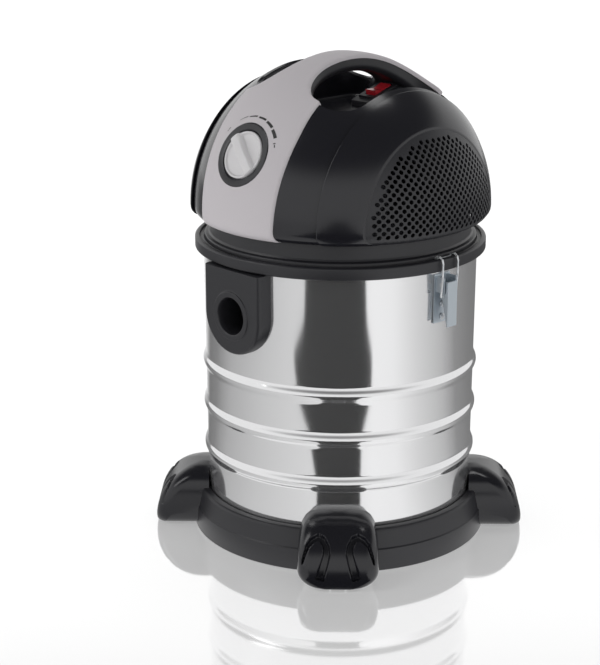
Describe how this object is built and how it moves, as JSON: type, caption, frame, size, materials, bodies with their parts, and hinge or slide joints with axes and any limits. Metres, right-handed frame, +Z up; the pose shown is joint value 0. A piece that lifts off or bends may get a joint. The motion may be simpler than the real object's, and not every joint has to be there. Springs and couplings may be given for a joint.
{
  "type": "shop vacuum",
  "caption": "Canister vacuum: round steel drum on a caster base, lift-off dome motor head with a silver carry handle, speed dial, vent grilles, side latches and a front hose inlet.",
  "frame": {"origin": "on the floor under the drum's axis", "axes": "+Z up, -Y to the front where the hose inlet and the dial are, +X to the right of a person facing the front"},
  "size_m": [0.34, 0.34, 0.533],
  "materials": {
    "polished_steel": "polished",
    "gloss_black": "gloss",
    "satin_black": "satin",
    "dark_moulding": "satin",
    "silver_paint": "satin silver paint",
    "knob_silver": "silver paint",
    "red_rocker": "translucent gloss",
    "seal_rubber": "matte",
    "zinc_plate": "bright zinc",
    "bright_wire": "bright",
    "screw_steel": "zinc",
    "fork_steel": "zinc",
    "wheel_plastic": "satin",
    "motor_case": "satin",
    "shaft_steel": "ground",
    "copper_winding": "enamelled wire",
    "impeller_metal": "pressed",
    "control_board": "matte",
    "float_white": "satin",
    "filter_paper": "matte"
  },
  "bodies": {
    "drum_body": {"drum": "polished_steel", "inlet_port": "satin_black", "inlet_gasket": "seal_rubber", "inlet_deflector": "dark_moulding", "base_ring": "satin_black", "foot_cover_front_right": "gloss_black", "foot_cover_rear_right": "gloss_black", "foot_cover_rear_left": "gloss_black", "foot_cover_front_left": "gloss_black", "base_screws": "screw_steel", "latch_base_right": "zinc_plate", "latch_base_left": "zinc_plate", "latch_rivets": "bright_wire", "latch_pin_right": "bright_wire", "latch_pin_left": "bright_wire"},
    "head": {"head_flange": "satin_black", "head_seal": "seal_rubber", "dome_shell": "gloss_black", "side_cover_right": "gloss_black", "side_cover_left": "gloss_black", "vent_grille_right": "gloss_black", "vent_grille_left": "gloss_black", "silver_band": "silver_paint", "handle_grip": "gloss_black", "dial_bezel": "satin_black", "speed_control": "control_board", "switch_housing": "satin_black", "cord_gland": "satin_black", "fan_housing": "motor_case", "motor_housing": "motor_case", "stator": "copper_winding", "float_cage": "dark_moulding", "filter_sleeve": "filter_paper", "filter_cap": "dark_moulding", "head_screws": "screw_steel"},
    "dial": {"speed_dial": "knob_silver"},
    "rocker": {"power_rocker": "red_rocker"},
    "float": {"float_ball": "float_white"},
    "rotor": {"motor_shaft": "shaft_steel", "armature": "copper_winding", "impeller": "impeller_metal"},
    "lever_right": {"latch_lever_right": "zinc_plate"},
    "wire_right": {"latch_wire_right": "bright_wire"},
    "lever_left": {"latch_lever_left": "zinc_plate"},
    "wire_left": {"latch_wire_left": "bright_wire"},
    "caster_front_right": {"caster_fork_front_right": "fork_steel", "caster_axle_front_right": "fork_steel"},
    "wheel_front_right": {"caster_wheel_front_right": "wheel_plastic"},
    "caster_rear_right": {"caster_fork_rear_right": "fork_steel", "caster_axle_rear_right": "fork_steel"},
    "wheel_rear_right": {"caster_wheel_rear_right": "wheel_plastic"},
    "caster_rear_left": {"caster_fork_rear_left": "fork_steel", "caster_axle_rear_left": "fork_steel"},
    "wheel_rear_left": {"caster_wheel_rear_left": "wheel_plastic"},
    "caster_front_left": {"caster_fork_front_left": "fork_steel", "caster_axle_front_left": "fork_steel"},
    "wheel_front_left": {"caster_wheel_front_left": "wheel_plastic"}
  },
  "joints": [
    {"name": "head_lift", "type": "slide", "parent": "drum_body", "child": "head", "axis": [0, 0, 1], "range_m": [0, 0.26]},
    {"name": "dial_turn", "type": "hinge", "parent": "head", "child": "dial", "pos_m": [0, -0.14319, 0.44139], "axis": [0, 0.8949, -0.4462], "range_deg": [0, 128]},
    {"name": "rocker_tilt", "type": "hinge", "parent": "head", "child": "rocker", "pos_m": [0, 0.05985, 0.48029], "axis": [1, 0, 0], "range_deg": [0, 14]},
    {"name": "float_rise", "type": "slide", "parent": "head", "child": "float", "axis": [0, 0, 1], "range_m": [0, 0.03]},
    {"name": "rotor_spin", "type": "hinge", "parent": "head", "child": "rotor", "pos_m": [0, 0, 0.38], "axis": [0, 0, 1], "continuous": true},
    {"name": "latch_right_open", "type": "hinge", "parent": "drum_body", "child": "lever_right", "pos_m": [0.159, 0, 0.308], "axis": [0, -1, 0], "range_deg": [0, 125]},
    {"name": "latch_right_wire", "type": "hinge", "parent": "lever_right", "child": "wire_right", "pos_m": [0.1605, 0, 0.296], "axis": [0, -1, 0], "range_deg": [-150, 0], "deforming": ["latch_wire_right"]},
    {"name": "latch_left_open", "type": "hinge", "parent": "drum_body", "child": "lever_left", "pos_m": [-0.159, 0, 0.308], "axis": [0, 1, 0], "range_deg": [0, 125]},
    {"name": "latch_left_wire", "type": "hinge", "parent": "lever_left", "child": "wire_left", "pos_m": [-0.1605, 0, 0.296], "axis": [0, 1, 0], "range_deg": [-150, 0], "deforming": ["latch_wire_left"]},
    {"name": "swivel_front_right", "type": "hinge", "parent": "drum_body", "child": "caster_front_right", "pos_m": [0.12304, -0.12304, 0.04], "axis": [0, 0, 1], "continuous": true},
    {"name": "roll_front_right", "type": "hinge", "parent": "caster_front_right", "child": "wheel_front_right", "pos_m": [0.11667, -0.11667, 0.014], "axis": [0.7071, 0.7071, 0], "continuous": true},
    {"name": "swivel_rear_right", "type": "hinge", "parent": "drum_body", "child": "caster_rear_right", "pos_m": [0.12304, 0.12304, 0.04], "axis": [0, 0, 1], "continuous": true},
    {"name": "roll_rear_right", "type": "hinge", "parent": "caster_rear_right", "child": "wheel_rear_right", "pos_m": [0.11667, 0.11667, 0.014], "axis": [-0.7071, 0.7071, 0], "continuous": true},
    {"name": "swivel_rear_left", "type": "hinge", "parent": "drum_body", "child": "caster_rear_left", "pos_m": [-0.12304, 0.12304, 0.04], "axis": [0, 0, 1], "continuous": true},
    {"name": "roll_rear_left", "type": "hinge", "parent": "caster_rear_left", "child": "wheel_rear_left", "pos_m": [-0.11667, 0.11667, 0.014], "axis": [-0.7071, -0.7071, 0], "continuous": true},
    {"name": "swivel_front_left", "type": "hinge", "parent": "drum_body", "child": "caster_front_left", "pos_m": [-0.12304, -0.12304, 0.04], "axis": [0, 0, 1], "continuous": true},
    {"name": "roll_front_left", "type": "hinge", "parent": "caster_front_left", "child": "wheel_front_left", "pos_m": [-0.11667, -0.11667, 0.014], "axis": [0.7071, -0.7071, 0], "continuous": true}
  ],
  "couplings": [
    {"joint": "latch_right_wire", "follows": "latch_right_open", "ratio": -1.2},
    {"joint": "latch_left_wire", "follows": "latch_left_open", "ratio": -1.2}
  ]
}
